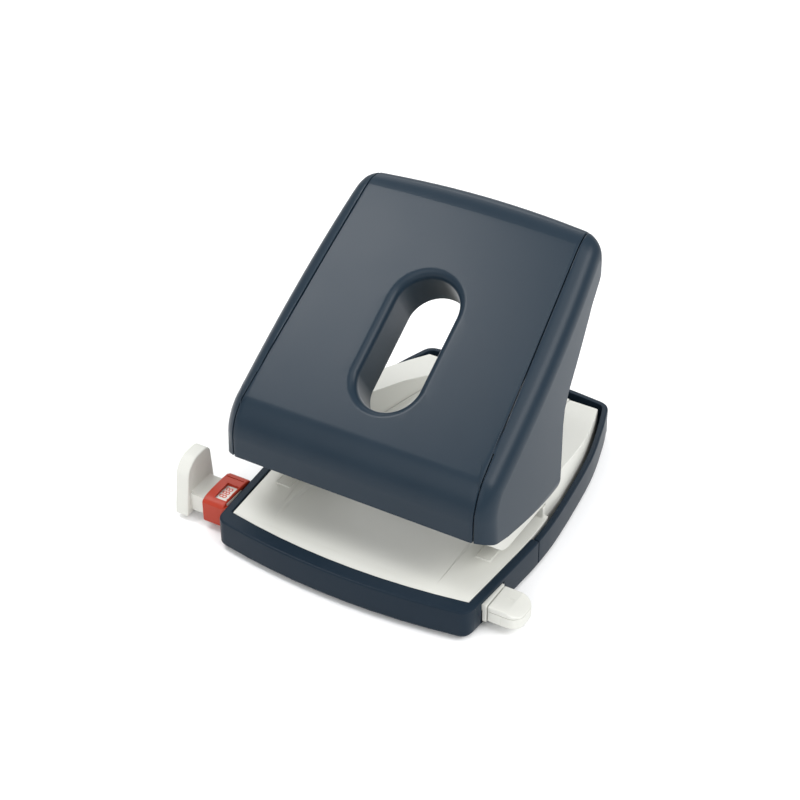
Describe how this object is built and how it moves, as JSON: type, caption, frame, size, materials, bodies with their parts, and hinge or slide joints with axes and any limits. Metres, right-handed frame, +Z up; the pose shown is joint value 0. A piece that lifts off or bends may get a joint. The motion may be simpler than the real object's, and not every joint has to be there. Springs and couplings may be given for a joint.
{
  "type": "desk hole punch",
  "caption": "Two-hole desk paper punch: sloping lever handle with a finger slot, twin punch heads, sliding paper guide and drop-down chip tray.",
  "frame": {"origin": "on the table under the middle of the base, on the mid-plane between the two holes", "axes": "+X to the right along the paper edge, +Y to the back of the punch, +Z up"},
  "size_m": [0.1353, 0.1346, 0.1048],
  "materials": {
    "slate": "satin moulded",
    "slate_handle": "soft satin",
    "pale": "satin moulded",
    "red": "satin moulded",
    "steel": "zinc plated",
    "rubber": "matt"
  },
  "bodies": {
    "base": {"front_rim": "slate", "tray_pin_left": "steel", "tray_pin_right": "steel", "paper_deck": "pale", "base_plate": "steel", "die_left": "steel", "die_right": "steel", "base_screw_1": "steel", "base_screw_2": "steel", "base_screw_3": "steel", "base_screw_4": "steel", "punch_bracket_left": "steel", "punch_bracket_right": "steel", "pivot_axle": "steel", "axle_clip_left": "steel", "axle_clip_right": "steel", "return_spring_left": "steel", "return_spring_right": "steel", "head_cover_left": "pale", "head_cover_right": "pale", "rear_deck": "pale", "format_sleeve": "red", "guide_detent": "steel", "front_foot_left": "rubber", "front_foot_right": "rubber"},
    "chip_tray": {"chip_tray": "slate", "tray_mat": "rubber"},
    "handle": {"handle_cover": "slate_handle", "handle_cheek_left": "slate_handle", "handle_cheek_right": "slate_handle", "handle_underside": "slate_handle", "lever_frame": "steel"},
    "punch_left": {"punch_pin_left": "steel"},
    "punch_right": {"punch_pin_right": "steel"},
    "guide": {"guide_bar": "pale", "end_stop": "pale", "guide_end_piece": "pale"}
  },
  "joints": [
    {"name": "handle_press", "type": "hinge", "parent": "base", "child": "handle", "pos_m": [0, -0.041, 0.04], "axis": [-1, 0, 0], "range_deg": [0, 20], "stiffness_Nm_per_rad": 1, "springref_deg": -20.05},
    {"name": "punch_left_stroke", "type": "slide", "parent": "base", "child": "punch_left", "axis": [0, 0, -1], "range_m": [0, 0.0085], "deforming": ["return_spring_left"]},
    {"name": "punch_right_stroke", "type": "slide", "parent": "base", "child": "punch_right", "axis": [0, 0, -1], "range_m": [0, 0.0085], "deforming": ["return_spring_right"]},
    {"name": "guide_slide", "type": "slide", "parent": "base", "child": "guide", "axis": [-1, 0, 0], "range_m": [0, 0.08]},
    {"name": "tray_open", "type": "hinge", "parent": "base", "child": "chip_tray", "pos_m": [0, 0.06, 0.0078], "axis": [1, 0, 0], "range_deg": [0, 30]}
  ],
  "couplings": [
    {"joint": "punch_left_stroke", "follows": "handle_press", "m_per_rad": 0.0235},
    {"joint": "punch_right_stroke", "follows": "handle_press", "m_per_rad": 0.0235}
  ]
}
